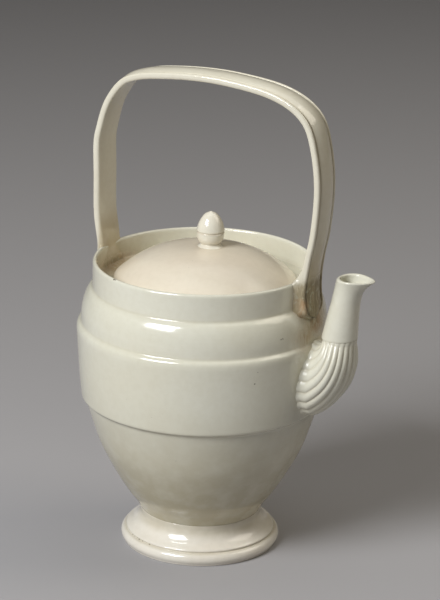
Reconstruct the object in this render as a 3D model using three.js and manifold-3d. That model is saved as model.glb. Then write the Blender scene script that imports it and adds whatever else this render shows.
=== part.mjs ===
// A glazed cream earthenware kettle: a turned pot on a pedestal foot, with a fixed strap handle over the
// top, a spout of a plain neck on a fluted shell, and a domed lid with a bud knob. Millimetres, +Z up.
import * as THREE from 'three';
import { mergeVertices } from 'three/addons/utils/BufferGeometryUtils.js';
import Module from 'manifold-3d';

const wasm = await Module();
wasm.setup();

// Driving dimensions of the pot, whose foot is a pedestal of its own
const FOOT_HEIGHT = 22.7;
const FOOT_RADIUS = 50.5;
const WAIST_RADIUS = 38.8;
const FOOT_WALL = 6;
const FOOT_RING_WIDTH = 5;
const FOOT_RING_ROUND = 4.1;
const FOOT_RING_TURN = 62;
const BAND_FOOT = 98.4;
const BAND_HEIGHT = 48.4;
const BAND_RADIUS = 79.7;
const BAND_TAPER = 3.2;
const BAND_STEP = 2.4;
const BAND_CORNER = 2.6;
const SHOULDER_HEIGHT = 22.1;
const SHOULDER_SET_IN = 2.7;
const RIM_RADIUS = 70;
const COLLAR_HEIGHT = 17.5;
const POT_WALL = 4.6;
const LIP_THICKNESS = 2.8;
const GALLERY_DEPTH = 14.2;
const GALLERY_THICKNESS = 4;
const MOUTH_RADIUS = 51.5;

// Driving dimensions of the lid and its knob, which a hand set a little off the lid's middle
const LID_OVERLAP = 5.5;
const LID_THICKNESS = 3.8;
const LID_EDGE = 2.9;
const LID_RISE = 19.6;
const LID_FULLNESS = 2.7;
const LID_FLANGE_DEPTH = 7;
const LID_FLANGE_WALL = 3.2;
const LID_FLANGE_CLEARANCE = 1.6;
const KNOB_RADIUS = 8.7;
const KNOB_HEIGHT = 22;
const KNOB_CUP_HEIGHT = 8.9;
const KNOB_STEM_RADIUS = 6.1;
const KNOB_OFF_CENTRE = 3.6;
const KNOB_BEARING = 62;

// Driving dimensions of the handle, whose left leg is the one away from the spout
const HANDLE_WIDTH = 23.4;
const HANDLE_THICKNESS = 4.3;
const HANDLE_BEAD = 1.3;
const HANDLE_GROOVE = 1;
const HANDLE_CROWNING = 1.3;
const HANDLE_RISE = 119.6;
const HANDLE_LEFT_REACH = 74.8;
const HANDLE_RIGHT_REACH = 82.4;
const HANDLE_LEFT_PROUD = 1.6;
const HANDLE_RIGHT_PROUD = 5.2;
const HANDLE_LOBE_WIDTH = 25.6;
const HANDLE_LOBE_DROP = 24;
const HANDLE_LOBE_ROUND = 9;
const HANDLE_FOOT_SWELL = 7.6;
const HANDLE_FOOT_FILLET = 10;

// Driving dimensions of the spout
const SPOUT_WALL = 2.3;
const NECK_FOOT_RISE = 5.4;
const NECK_STAND_OFF = 14.2;
const NECK_FOOT_RADIUS = 11.1;
const NECK_WAIST_RADIUS = 9;
const NECK_MOUTH_RADIUS = 9.6;
const NECK_MOUTH_SPREAD = 0.12;
const NECK_HEIGHT = 39.6;
const NECK_LEAN = 7.6;
const NECK_WAIST_SHARE = 0.6;
const NECK_FLARE_SHARE = 0.72;
const NECK_LIP_ROUND = 0.9;
const BEAK = 5.6;
const BEAK_SHARPNESS = 3;
const SHELL_SET_BACK = 0.7;
const SHELL_HINGE = 2.2;
const SHELL_BACK_DROP = 3;
const SHELL_DROP = 52;
const SHELL_DROOP = 1.8;
const SHELL_HALF_WIDTH = 20.2;
const SHELL_LOW_SPREAD = 0.14;
const FLUTES = 20;
const FLUTE_DEPTH = 1.1;
const FLUTE_START = 0.45;
const FLUTE_FADE = 0.6;
const STRAINER_HOLE_RADIUS = 1.8;
const STRAINER_PITCH = 6.4;

// Heights and reaches that follow from these, each piece standing on the one that carries it
const BAND_TOP = BAND_FOOT + BAND_HEIGHT;
const SHOULDER_RADIUS = BAND_RADIUS - SHOULDER_SET_IN;
const SHOULDER_TOP = BAND_TOP + SHOULDER_HEIGHT;
const RIM_HEIGHT = SHOULDER_TOP + COLLAR_HEIGHT;
const HANDLE_CROWN = RIM_HEIGHT + HANDLE_RISE;
const NECK_FOOT_HEIGHT = BAND_TOP + NECK_FOOT_RISE;
const NECK_REACH = BAND_RADIUS + NECK_STAND_OFF;

// Working values
const LUTE = 0.3;
const TURNED_SIDES = 40;
const KNOB_SIDES = 24;
const NECK_SIDES = 28;
const OVERRUN = 2;

const glaze = (colour) => new THREE.MeshStandardMaterial({ color: colour, roughness: 0.22, metalness: 0 });

// Solids for cutting, turned so that their faces point out, and meshes from them
function toSolid(geometry) {
  const bare = geometry.clone();
  bare.deleteAttribute('normal');
  bare.deleteAttribute('uv');
  const merged = mergeVertices(bare, 1e-4);
  const index = merged.index.array;
  const kept = [];
  for (let i = 0; i < index.length; i += 3) {
    const [a, b, c] = [index[i], index[i + 1], index[i + 2]];
    if (a !== b && b !== c && c !== a) kept.push(a, b, c);
  }
  const place = (i) => new THREE.Vector3().fromBufferAttribute(merged.attributes.position, i);
  let volume = 0;
  for (let i = 0; i < kept.length; i += 3) {
    volume += place(kept[i]).dot(place(kept[i + 1]).cross(place(kept[i + 2])));
  }
  const mesh = new wasm.Mesh({
    numProp: 3,
    vertProperties: new Float32Array(merged.attributes.position.array),
    triVerts: new Uint32Array(volume < 0 ? kept.reverse() : kept),
  });
  return new wasm.Manifold(mesh);
}

function toGeometry(solid) {
  const mesh = solid.getMesh();
  const geometry = new THREE.BufferGeometry();
  geometry.setAttribute('position', new THREE.BufferAttribute(new Float32Array(mesh.vertProperties), 3));
  geometry.setIndex(new THREE.BufferAttribute(new Uint32Array(mesh.triVerts), 1));
  geometry.computeVertexNormals();
  return geometry;
}

// A solid turned about the vertical axis from a profile of radius and height, which runs anticlockwise
function turned(profile, sides = TURNED_SIDES) {
  const points = profile.map(([radius, height]) => new THREE.Vector2(radius, height));
  return new THREE.LatheGeometry(points, sides).rotateX(Math.PI / 2);
}

// A solid skinned over rings of equal count, closed at both ends by fans
function loft(rings) {
  const count = rings[0].length;
  const position = [];
  const index = [];
  for (const ring of rings) {
    for (const point of ring) position.push(point.x, point.y, point.z);
  }
  for (let r = 0; r + 1 < rings.length; r++) {
    for (let i = 0; i < count; i++) {
      const j = (i + 1) % count;
      const [a, b, c, d] = [r * count + i, r * count + j, (r + 1) * count + j, (r + 1) * count + i];
      index.push(a, b, c, a, c, d);
    }
  }
  for (const [r, flip] of [[0, true], [rings.length - 1, false]]) {
    const centre = new THREE.Vector3();
    rings[r].forEach((point) => centre.addScaledVector(point, 1 / count));
    const hub = position.length / 3;
    position.push(centre.x, centre.y, centre.z);
    for (let i = 0; i < count; i++) {
      const [a, b] = [r * count + i, r * count + ((i + 1) % count)];
      index.push(hub, ...(flip ? [b, a] : [a, b]));
    }
  }
  const geometry = new THREE.BufferGeometry();
  geometry.setAttribute('position', new THREE.BufferAttribute(new Float32Array(position), 3));
  geometry.setIndex(index);
  geometry.computeVertexNormals();
  return geometry;
}

// Points of a smooth curve of radius and height through a few stations
function swept(stations, count) {
  const curve = new THREE.SplineCurve(stations.map(([radius, height]) => new THREE.Vector2(radius, height)));
  return curve.getPoints(count).map((point) => [point.x, point.y]);
}

function arc(centreRadius, centreHeight, radius, from, to, count) {
  const points = [];
  for (let i = 0; i <= count; i++) {
    const angle = THREE.MathUtils.degToRad(from + ((to - from) * i) / count);
    points.push([centreRadius + radius * Math.cos(angle), centreHeight + radius * Math.sin(angle)]);
  }
  return points;
}

// A line of radius and height moved in by the thickness of a wall
function moveIn(line, wall) {
  return line.map(([radius, height], i) => {
    const [lowRadius, lowHeight] = line[Math.max(i - 1, 0)];
    const [highRadius, highHeight] = line[Math.min(i + 1, line.length - 1)];
    const length = Math.hypot(highRadius - lowRadius, highHeight - lowHeight);
    return [
      radius - (wall * (highHeight - lowHeight)) / length,
      height + (wall * (highRadius - lowRadius)) / length,
    ];
  });
}

// The pot's outside, from the waist up to the rim
const bandFootRadius = BAND_RADIUS - BAND_TAPER;
const bellyRadius = bandFootRadius - BAND_STEP;
const bellyHeight = BAND_FOOT - FOOT_HEIGHT;
const bellyRun = bellyRadius - WAIST_RADIUS;
const belly = swept([
  [WAIST_RADIUS, FOOT_HEIGHT],
  [WAIST_RADIUS + 0.1 * bellyRun, FOOT_HEIGHT + 0.083 * bellyHeight],
  [WAIST_RADIUS + 0.25 * bellyRun, FOOT_HEIGHT + 0.176 * bellyHeight],
  [WAIST_RADIUS + 0.49 * bellyRun, FOOT_HEIGHT + 0.36 * bellyHeight],
  [WAIST_RADIUS + 0.73 * bellyRun, FOOT_HEIGHT + 0.585 * bellyHeight],
  [WAIST_RADIUS + 0.89 * bellyRun, FOOT_HEIGHT + 0.81 * bellyHeight],
  [bellyRadius, BAND_FOOT - 1.2],
], 8);
const shoulder = swept([
  [SHOULDER_RADIUS, BAND_TOP + 0.3],
  [SHOULDER_RADIUS - 0.2, BAND_TOP + 0.35 * SHOULDER_HEIGHT],
  [SHOULDER_RADIUS - 1.7, BAND_TOP + 0.66 * SHOULDER_HEIGHT],
  [SHOULDER_RADIUS - 4.2, BAND_TOP + 0.9 * SHOULDER_HEIGHT],
  [RIM_RADIUS, SHOULDER_TOP],
], 7);
const band = swept([
  [bandFootRadius, BAND_FOOT],
  [bandFootRadius + 0.5 * BAND_TAPER, BAND_FOOT + 0.35 * BAND_HEIGHT],
  [BAND_RADIUS, BAND_TOP - 7],
  [BAND_RADIUS - 0.1, BAND_TOP - BAND_CORNER],
], 5);
const outside = [
  ...belly,
  ...band,
  ...arc(BAND_RADIUS - 0.1 - BAND_CORNER, BAND_TOP - BAND_CORNER, BAND_CORNER, 30, 75, 2),
  ...shoulder,
];

// The same outline grown by the luting gap, as a full solid that the handle and spout are fitted against
const potBlank = toSolid(turned([
  [0, FOOT_HEIGHT + LUTE],
  ...outside.map(([radius, height]) => [radius + LUTE, height]),
  [RIM_RADIUS + LUTE, RIM_HEIGHT + LUTE],
  [0, RIM_HEIGHT + LUTE],
]));

// The pot: a thrown wall with a thin rounded lip, a gallery that carries the lid, and a strainer at the spout
const innerRim = RIM_RADIUS - LIP_THICKNESS;
const galleryHeight = RIM_HEIGHT - GALLERY_DEPTH;
const lipRound = LIP_THICKNESS / 2;
const innerFloor = FOOT_HEIGHT + POT_WALL + 1;
const insideBelly = moveIn(belly, POT_WALL).filter(([, height]) => height > innerFloor + POT_WALL).reverse();
const inside = [
  ...swept([
    [MOUTH_RADIUS, galleryHeight - GALLERY_THICKNESS],
    [SHOULDER_RADIUS - POT_WALL - 4, SHOULDER_TOP - 8.6],
    [BAND_RADIUS - POT_WALL - 2, BAND_TOP - 2],
    [bandFootRadius - POT_WALL, BAND_FOOT + 4],
  ], 6),
  ...insideBelly,
  [WAIST_RADIUS - 1.6 * POT_WALL, innerFloor],
];

const shellCentreHeight = NECK_FOOT_HEIGHT - 0.52 * SHELL_DROP;

// A hexagon of holes, with the middle row the longest
function strainerHoles() {
  const rows = 2;
  const holes = [];
  for (let row = -rows; row <= rows; row++) {
    const inRow = 2 * rows + 1 - Math.abs(row);
    for (let k = 0; k < inRow; k++) {
      const across = (k - (inRow - 1) / 2) * STRAINER_PITCH;
      const up = row * STRAINER_PITCH * Math.sin(Math.PI / 3);
      const hole = new THREE.CylinderGeometry(STRAINER_HOLE_RADIUS, STRAINER_HOLE_RADIUS, 6 * POT_WALL, 10);
      hole.rotateZ(Math.PI / 2);
      hole.translate(BAND_RADIUS - POT_WALL, across, shellCentreHeight + up);
      holes.push(toSolid(hole));
    }
  }
  return holes;
}

function potGeometry() {
  const profile = [
    [0, FOOT_HEIGHT + LUTE],
    [WAIST_RADIUS, FOOT_HEIGHT + LUTE],
    ...outside.slice(1),
    ...arc(RIM_RADIUS - lipRound, RIM_HEIGHT - lipRound, lipRound, 0, 180, 5),
    [innerRim, galleryHeight],
    [MOUTH_RADIUS, galleryHeight],
    ...inside,
    [0, innerFloor],
  ];
  return toGeometry(strainerHoles().reduce((solid, hole) => solid.subtract(hole), toSolid(turned(profile))));
}

// The foot: a pedestal with a cove under the waist, a flange, a groove and a rounded ring, hollow below
function footGeometry() {
  const ringCentre = FOOT_RADIUS - FOOT_RING_ROUND;
  const ringFace = ringCentre + 0.64 * FOOT_RING_ROUND;
  const grooveHeight = 2 * FOOT_RING_ROUND;
  const coveHeight = FOOT_HEIGHT - grooveHeight;
  const coveRun = ringCentre + 0.9 - WAIST_RADIUS;
  const hollowHeight = FOOT_HEIGHT - FOOT_WALL;
  const profile = [
    [ringFace - FOOT_RING_WIDTH, 0],
    [ringFace, 0],
    ...arc(ringCentre, FOOT_RING_ROUND, FOOT_RING_ROUND, -45, FOOT_RING_TURN, 5),
    [WAIST_RADIUS + coveRun - 0.5, grooveHeight],
    ...swept([
      [WAIST_RADIUS + coveRun, grooveHeight + 0.7],
      [WAIST_RADIUS + 0.93 * coveRun, grooveHeight + 0.12 * coveHeight],
      [WAIST_RADIUS + 0.5 * coveRun, grooveHeight + 0.27 * coveHeight],
      [WAIST_RADIUS + 0.19 * coveRun, grooveHeight + 0.47 * coveHeight],
      [WAIST_RADIUS - 0.1, grooveHeight + 0.74 * coveHeight],
      [WAIST_RADIUS, FOOT_HEIGHT],
    ], 9),
    [0, FOOT_HEIGHT],
    [0, hollowHeight],
    ...swept([
      [WAIST_RADIUS - 2.4 * FOOT_WALL, hollowHeight],
      [WAIST_RADIUS - 1.1 * FOOT_WALL, 0.74 * hollowHeight],
      [WAIST_RADIUS - 0.2 * FOOT_WALL, 0.36 * hollowHeight],
    ], 4),
  ];
  profile.push(profile[0]);
  return toGeometry(toSolid(turned(profile)));
}

// The lid: a dome whose edge rests on the gallery, with a flange below that keeps it in the mouth
const lidRadius = MOUTH_RADIUS + LID_OVERLAP;
const lidSeat = galleryHeight + LUTE;
const lidShoulder = lidSeat + LID_EDGE;
const lidTop = lidShoulder + LID_RISE;

// Points from the edge of a dome, steep there and flat on top, to its middle
function domePoints(radius, base, rise, count) {
  const points = [];
  for (let i = 0; i <= count; i++) {
    const share = Math.sin((Math.PI / 2) * (1 - i / count));
    points.push([radius * share, base + rise * (1 - share ** LID_FULLNESS)]);
  }
  return points;
}

function lidGeometry() {
  const edgeRound = 0.6;
  const domeRadius = lidRadius - edgeRound;
  const flangeOuter = MOUTH_RADIUS - LID_FLANGE_CLEARANCE;
  const flangeInner = flangeOuter - LID_FLANGE_WALL;
  const flangeFoot = lidSeat - LID_FLANGE_DEPTH;
  const overFlange = lidShoulder + LID_RISE * (1 - (flangeInner / domeRadius) ** LID_FULLNESS);
  const underBase = overFlange - 1.4 * LID_THICKNESS;
  const profile = [
    [flangeInner, flangeFoot],
    [flangeOuter, flangeFoot],
    [flangeOuter, lidSeat],
    [lidRadius - edgeRound, lidSeat],
    [lidRadius, lidSeat + edgeRound],
    [lidRadius, lidShoulder - edgeRound],
    ...domePoints(domeRadius, lidShoulder, LID_RISE, 8),
    ...domePoints(flangeInner, underBase, lidTop - LID_THICKNESS - underBase, 6).reverse(),
    [flangeInner, flangeFoot],
  ];
  return toGeometry(toSolid(turned(profile)));
}

// The knob: a bud standing in a small turned cup
const knobFoot = lidTop + LUTE;

function knobGeometry() {
  const budFoot = knobFoot + KNOB_CUP_HEIGHT;
  const budHeight = KNOB_HEIGHT - KNOB_CUP_HEIGHT;
  const profile = [
    [0, knobFoot],
    [KNOB_STEM_RADIUS + 0.3, knobFoot],
    [KNOB_STEM_RADIUS, knobFoot + 0.12 * KNOB_CUP_HEIGHT],
    [0.85 * KNOB_RADIUS, knobFoot + 0.32 * KNOB_CUP_HEIGHT],
    [0.96 * KNOB_RADIUS, knobFoot + 0.62 * KNOB_CUP_HEIGHT],
    [KNOB_RADIUS, budFoot - 0.4],
    [KNOB_RADIUS - 0.6, budFoot],
    ...swept([
      [KNOB_RADIUS - 0.3, budFoot + 0.4],
      [KNOB_RADIUS, budFoot + 0.12 * budHeight],
      [0.83 * KNOB_RADIUS, budFoot + 0.5 * budHeight],
      [0.47 * KNOB_RADIUS, budFoot + 0.85 * budHeight],
      [0, knobFoot + KNOB_HEIGHT],
    ], 11),
  ];
  const bearing = THREE.MathUtils.degToRad(KNOB_BEARING);
  const knob = turned(profile, KNOB_SIDES);
  knob.translate(KNOB_OFF_CENTRE * Math.cos(bearing), KNOB_OFF_CENTRE * Math.sin(bearing), 0);
  return toGeometry(toSolid(knob));
}

// The handle: a strap with a crowned face between two beads, bent over the top, lapped down the collar
// and dressed flush with the inside of the rim so that the lid lifts past it
function strapSection(width, thickness) {
  const half = width / 2;
  const beadCentre = half - HANDLE_BEAD;
  const grooveCentre = half - 2.3 * HANDLE_BEAD;
  const face = (share) => [
    grooveCentre * share,
    HANDLE_CROWNING * (1 - share ** 2) - 0.4 * HANDLE_GROOVE * share ** 2,
  ];
  const right = [
    [half - 1.1 * HANDLE_BEAD, -thickness],
    [half - 0.3 * HANDLE_BEAD, -thickness + 0.6 * HANDLE_BEAD],
    [half, -HANDLE_BEAD],
    [beadCentre + 0.7 * HANDLE_BEAD, -0.3 * HANDLE_BEAD],
    [beadCentre, 0],
    [beadCentre - 0.7 * HANDLE_BEAD, -0.35 * HANDLE_BEAD],
    [grooveCentre, -HANDLE_GROOVE],
    face(0.9),
    face(0.5),
  ];
  const left = right.map(([across, out]) => [-across, out]).reverse();
  return [...right, face(0), ...left];
}

function handleGeometry() {
  const legFoot = RIM_HEIGHT - HANDLE_LOBE_DROP;
  const leftOut = -(RIM_RADIUS + HANDLE_LEFT_PROUD);
  const rightOut = RIM_RADIUS + HANDLE_RIGHT_PROUD;
  const outline = [
    [-(SHOULDER_RADIUS + 0.4), legFoot],
    [leftOut - 2, RIM_HEIGHT - 10],
    [leftOut, RIM_HEIGHT - 1],
    [-HANDLE_LEFT_REACH + 0.6, RIM_HEIGHT + 0.17 * HANDLE_RISE],
    [-HANDLE_LEFT_REACH + 0.3, RIM_HEIGHT + 0.38 * HANDLE_RISE],
    [-HANDLE_LEFT_REACH, RIM_HEIGHT + 0.57 * HANDLE_RISE],
    [-HANDLE_LEFT_REACH + 1.6, RIM_HEIGHT + 0.64 * HANDLE_RISE],
    [-HANDLE_LEFT_REACH + 7.7, HANDLE_CROWN - 24.4],
    [-HANDLE_LEFT_REACH + 19.1, HANDLE_CROWN - 9.7],
    [-HANDLE_LEFT_REACH + 30.4, HANDLE_CROWN - 4.7],
    [-HANDLE_LEFT_REACH + 46.8, HANDLE_CROWN - 1.8],
    [-5, HANDLE_CROWN],
    [16, HANDLE_CROWN - 0.3],
    [HANDLE_RIGHT_REACH - 36.1, HANDLE_CROWN - 3.7],
    [HANDLE_RIGHT_REACH - 21.4, HANDLE_CROWN - 9.1],
    [HANDLE_RIGHT_REACH - 12.8, HANDLE_CROWN - 15.3],
    [HANDLE_RIGHT_REACH - 7.5, HANDLE_CROWN - 22.5],
    [HANDLE_RIGHT_REACH - 3.3, HANDLE_CROWN - 35.7],
    [HANDLE_RIGHT_REACH, RIM_HEIGHT + 0.5 * HANDLE_RISE],
    [HANDLE_RIGHT_REACH - 1.9, RIM_HEIGHT + 0.255 * HANDLE_RISE],
    [HANDLE_RIGHT_REACH - 5.2, RIM_HEIGHT + 0.114 * HANDLE_RISE],
    [rightOut, RIM_HEIGHT - 1],
    [rightOut, RIM_HEIGHT - 10],
    [SHOULDER_RADIUS + 0.8, legFoot],
  ].map(([x, z]) => new THREE.Vector3(x, 0, z));
  const path = new THREE.CatmullRomCurve3(outline, false, 'centripetal');
  const steps = 60;
  const rings = [];
  for (let i = 0; i <= steps; i++) {
    const share = i / steps - (0.4 * Math.sin((2 * Math.PI * i) / steps)) / (2 * Math.PI);
    const point = path.getPointAt(share);
    const along = path.getTangentAt(share);
    const out = new THREE.Vector3(-along.z, 0, along.x);
    const flare = 1 - THREE.MathUtils.smoothstep(
      point.z, RIM_HEIGHT - HANDLE_FOOT_FILLET, RIM_HEIGHT + HANDLE_FOOT_FILLET,
    );
    const fromEnd = THREE.MathUtils.clamp((point.z - legFoot) / HANDLE_LOBE_ROUND, 0.1, 1);
    const rounded = Math.sqrt(1 - (1 - fromEnd) ** 2);
    const width = rounded * THREE.MathUtils.lerp(HANDLE_WIDTH, HANDLE_LOBE_WIDTH, flare);
    const swellTop = RIM_HEIGHT + (point.x > 0 ? HANDLE_FOOT_FILLET : 0);
    const swell = 1 - THREE.MathUtils.smoothstep(point.z, swellTop - 2 * HANDLE_FOOT_FILLET, swellTop);
    const section = strapSection(width, HANDLE_THICKNESS + HANDLE_FOOT_SWELL * swell);
    rings.push(section.map(([across, outwards]) => new THREE.Vector3(
      point.x + out.x * outwards, -across, point.z + out.z * outwards,
    )));
  }
  const dressing = new THREE.CylinderGeometry(innerRim, innerRim, HANDLE_RISE / 2, 2 * TURNED_SIDES);
  dressing.rotateX(Math.PI / 2);
  dressing.translate(0, 0, RIM_HEIGHT + HANDLE_RISE / 4);
  return toGeometry(toSolid(loft(rings)).subtract(potBlank).subtract(toSolid(dressing)));
}

// The spout's neck: a plain tube leaning out, drawn forward into a beak at the mouth
function neckRing(share, shrink) {
  const narrowed = Math.min(1, share / NECK_WAIST_SHARE);
  const body = THREE.MathUtils.lerp(NECK_FOOT_RADIUS, NECK_WAIST_RADIUS, narrowed);
  const flare = Math.max(0, (share - NECK_FLARE_SHARE) / (1 - NECK_FLARE_SHARE)) ** 2;
  const radius = body + (NECK_MOUTH_RADIUS - NECK_WAIST_RADIUS) * flare - shrink;
  const lean = NECK_LEAN * THREE.MathUtils.lerp(share, share ** 4, 1 / 3);
  const ring = [];
  for (let i = 0; i < NECK_SIDES; i++) {
    const angle = (2 * Math.PI * i) / NECK_SIDES;
    const front = Math.max(0, Math.cos(angle)) ** BEAK_SHARPNESS;
    const reach = radius * Math.cos(angle) + BEAK * front * flare;
    const side = radius * Math.sin(angle) * (1 + NECK_MOUTH_SPREAD * flare);
    ring.push(new THREE.Vector3(NECK_REACH + lean + reach, side, NECK_FOOT_HEIGHT + NECK_HEIGHT * share));
  }
  return ring;
}

function neckGeometry() {
  const shares = [0, 0.15, 0.35, NECK_WAIST_SHARE, NECK_FLARE_SHARE, 0.8, 0.87, 0.94, 0.98];
  const lip = neckRing(1, NECK_LIP_ROUND);
  const outer = toSolid(loft([...shares.map((share) => neckRing(share, 0)), lip]));
  const past = OVERRUN / NECK_HEIGHT;
  const boreShares = [-past, ...shares.slice(1), 1 + past];
  const bore = toSolid(loft(boreShares.map((share) => neckRing(share, SPOUT_WALL))));
  return toGeometry(outer.subtract(bore));
}

// The spout's shell: sections that swing a quarter turn from the neck's foot down to the wall and then
// run straight into it, with flutes along their run that fade towards the pot
const shellTopRadius = NECK_FOOT_RADIUS - SHELL_SET_BACK;
const hingeReach = NECK_REACH - shellTopRadius - SHELL_HINGE;
const hingeHeight = NECK_FOOT_HEIGHT - LUTE;
const shellRoot = bellyRadius - 2 * POT_WALL;

function shellRing(swing, count, shrink, fluteDepth) {
  const share = swing / 90;
  const opened = THREE.MathUtils.clamp(share, 0, 1);
  const near = SHELL_HINGE + SHELL_BACK_DROP * opened;
  const topFar = SHELL_HINGE + 2 * shellTopRadius;
  const far = THREE.MathUtils.lerp(topFar, SHELL_DROP, opened ** SHELL_DROOP);
  const middle = (near + far) / 2;
  const depth = (far - near) / 2 - shrink;
  const spread = Math.sin((Math.PI / 2) * opened);
  const width = THREE.MathUtils.lerp(shellTopRadius, SHELL_HALF_WIDTH, spread) - shrink;
  const tilt = THREE.MathUtils.degToRad(swing);
  const fade = THREE.MathUtils.smoothstep(share, 0.02, 0.3);
  const ring = [];
  for (let i = 0; i < count; i++) {
    const angle = (2 * Math.PI * i) / count;
    const ridge = Math.abs(Math.cos((FLUTES * angle) / 2));
    const towardsPot = 0.5 - 0.5 * Math.cos(angle);
    const depthThere = THREE.MathUtils.lerp(FLUTE_START, 1, fade) * (1 - FLUTE_FADE * towardsPot ** 2);
    const cut = fluteDepth * depthThere * (1 - ridge);
    const radial = middle + (depth - cut) * Math.cos(angle);
    const side = (width - cut) * Math.sin(angle) * (1 + SHELL_LOW_SPREAD * opened * Math.cos(angle));
    ring.push(new THREE.Vector3(
      hingeReach + radial * Math.cos(tilt), side, hingeHeight - radial * Math.sin(tilt),
    ));
  }
  return ring;
}

// A shell's skin, with its last section carried straight in to the given reach
function shellSkin(swings, count, shrink, fluteDepth, reach) {
  const rings = swings.map((swing) => shellRing(swing, count, shrink, fluteDepth));
  rings.push(rings.at(-1).map((point) => new THREE.Vector3(reach, point.y, point.z)));
  return toSolid(loft(rings));
}

function shellGeometry() {
  const outer = shellSkin([0, 10, 21, 32, 44, 56, 68, 80, 90], FLUTES * 4, 0, FLUTE_DEPTH, shellRoot);
  const inner = shellSkin([-12, 0, 14, 28, 42, 56, 70, 90], 24, SPOUT_WALL, 0, shellRoot - OVERRUN);
  return toGeometry(outer.subtract(inner).subtract(potBlank));
}

// The assembly, centred over its own footprint
const kettle = new THREE.Group();
const pieces = [
  ['pot', potGeometry(), 0xe6e1cc],
  ['foot', footGeometry(), 0xe8e3cf],
  ['handle', handleGeometry(), 0xe2ddc6],
  ['spout_shell', shellGeometry(), 0xe6e1cc],
  ['spout_neck', neckGeometry(), 0xe6e1cc],
  ['lid', lidGeometry(), 0xe7dac4],
  ['lid_knob', knobGeometry(), 0xe9dfc9],
];
for (const [name, geometry, colour] of pieces) {
  const mesh = new THREE.Mesh(geometry, glaze(colour));
  mesh.name = name;
  kettle.add(mesh);
}
const span = new THREE.Box3().setFromObject(kettle);
kettle.position.x = -(span.min.x + span.max.x) / 2;

export default kettle;
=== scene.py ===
import math

import bmesh
import bpy
import numpy as np
from mathutils import Matrix, Vector, noise


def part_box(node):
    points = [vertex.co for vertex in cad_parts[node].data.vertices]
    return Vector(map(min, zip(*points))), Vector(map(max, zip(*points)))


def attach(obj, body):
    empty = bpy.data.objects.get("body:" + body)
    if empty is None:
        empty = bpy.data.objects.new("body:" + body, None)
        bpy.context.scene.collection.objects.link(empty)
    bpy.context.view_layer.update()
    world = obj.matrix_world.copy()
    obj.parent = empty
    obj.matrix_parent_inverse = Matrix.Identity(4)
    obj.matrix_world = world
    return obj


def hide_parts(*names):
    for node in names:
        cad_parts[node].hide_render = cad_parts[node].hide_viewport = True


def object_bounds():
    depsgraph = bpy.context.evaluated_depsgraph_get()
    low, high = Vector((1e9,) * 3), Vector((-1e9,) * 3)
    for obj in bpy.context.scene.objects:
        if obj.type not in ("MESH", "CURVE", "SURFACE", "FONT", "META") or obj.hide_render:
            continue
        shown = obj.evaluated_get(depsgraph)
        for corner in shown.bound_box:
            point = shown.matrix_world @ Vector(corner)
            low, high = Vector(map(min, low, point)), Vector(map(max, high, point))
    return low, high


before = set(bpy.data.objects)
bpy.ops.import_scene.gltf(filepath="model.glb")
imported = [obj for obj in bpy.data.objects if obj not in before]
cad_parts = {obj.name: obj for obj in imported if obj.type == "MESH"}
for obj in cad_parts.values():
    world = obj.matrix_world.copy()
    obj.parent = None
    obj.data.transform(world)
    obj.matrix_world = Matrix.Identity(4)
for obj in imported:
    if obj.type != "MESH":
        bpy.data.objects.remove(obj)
cad_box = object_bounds()

# Blender takes the seed of its vector noise from the clock, so it is set, for the same wobble in each run
NOISE_SEED = 1
noise.seed_set(NOISE_SEED)

# Sizes in metres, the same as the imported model's
MM = 0.001
FOOT_HEIGHT = 22.7 * MM
FOOT_RADIUS = 50.5 * MM
WAIST_RADIUS = 38.8 * MM
FOOT_WALL = 6 * MM
FOOT_RING_WIDTH = 5 * MM
FOOT_RING_ROUND = 4.1 * MM
FOOT_RING_TURN = 62
BAND_FOOT = 98.4 * MM
BAND_HEIGHT = 48.4 * MM
BAND_RADIUS = 79.7 * MM
BAND_TAPER = 3.2 * MM
BAND_STEP = 2.4 * MM
BAND_CORNER = 2.6 * MM
SHOULDER_HEIGHT = 22.1 * MM
SHOULDER_SET_IN = 2.7 * MM
RIM_RADIUS = 70 * MM
COLLAR_HEIGHT = 17.5 * MM
POT_WALL = 4.6 * MM
LIP_THICKNESS = 2.8 * MM
GALLERY_DEPTH = 14.2 * MM
GALLERY_THICKNESS = 4 * MM
MOUTH_RADIUS = 51.5 * MM
LID_OVERLAP = 5.5 * MM
LID_THICKNESS = 3.8 * MM
LID_EDGE = 2.9 * MM
LID_RISE = 19.6 * MM
LID_FULLNESS = 2.7
LID_FLANGE_DEPTH = 7 * MM
LID_FLANGE_WALL = 3.2 * MM
LID_FLANGE_CLEARANCE = 1.6 * MM
KNOB_RADIUS = 8.7 * MM
KNOB_HEIGHT = 22 * MM
KNOB_CUP_HEIGHT = 8.9 * MM
KNOB_STEM_RADIUS = 6.1 * MM
KNOB_OFF_CENTRE = 3.6 * MM
KNOB_BEARING = math.radians(62)
HANDLE_WIDTH = 23.4 * MM
HANDLE_THICKNESS = 4.3 * MM
HANDLE_BEAD = 1.3 * MM
HANDLE_GROOVE = 1 * MM
HANDLE_CROWNING = 1.3 * MM
HANDLE_RISE = 119.6 * MM
HANDLE_LEFT_REACH = 74.8 * MM
HANDLE_RIGHT_REACH = 82.4 * MM
HANDLE_LEFT_PROUD = 1.6 * MM
HANDLE_RIGHT_PROUD = 5.2 * MM
HANDLE_LOBE_WIDTH = 25.6 * MM
HANDLE_LOBE_DROP = 24 * MM
HANDLE_LOBE_ROUND = 9 * MM
HANDLE_FOOT_SWELL = 7.6 * MM
HANDLE_FOOT_FILLET = 10 * MM
SPOUT_WALL = 2.3 * MM
NECK_FOOT_RISE = 5.4 * MM
NECK_STAND_OFF = 14.2 * MM
NECK_FOOT_RADIUS = 11.1 * MM
NECK_WAIST_RADIUS = 9 * MM
NECK_MOUTH_RADIUS = 9.6 * MM
NECK_MOUTH_SPREAD = 0.12
NECK_HEIGHT = 39.6 * MM
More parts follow.
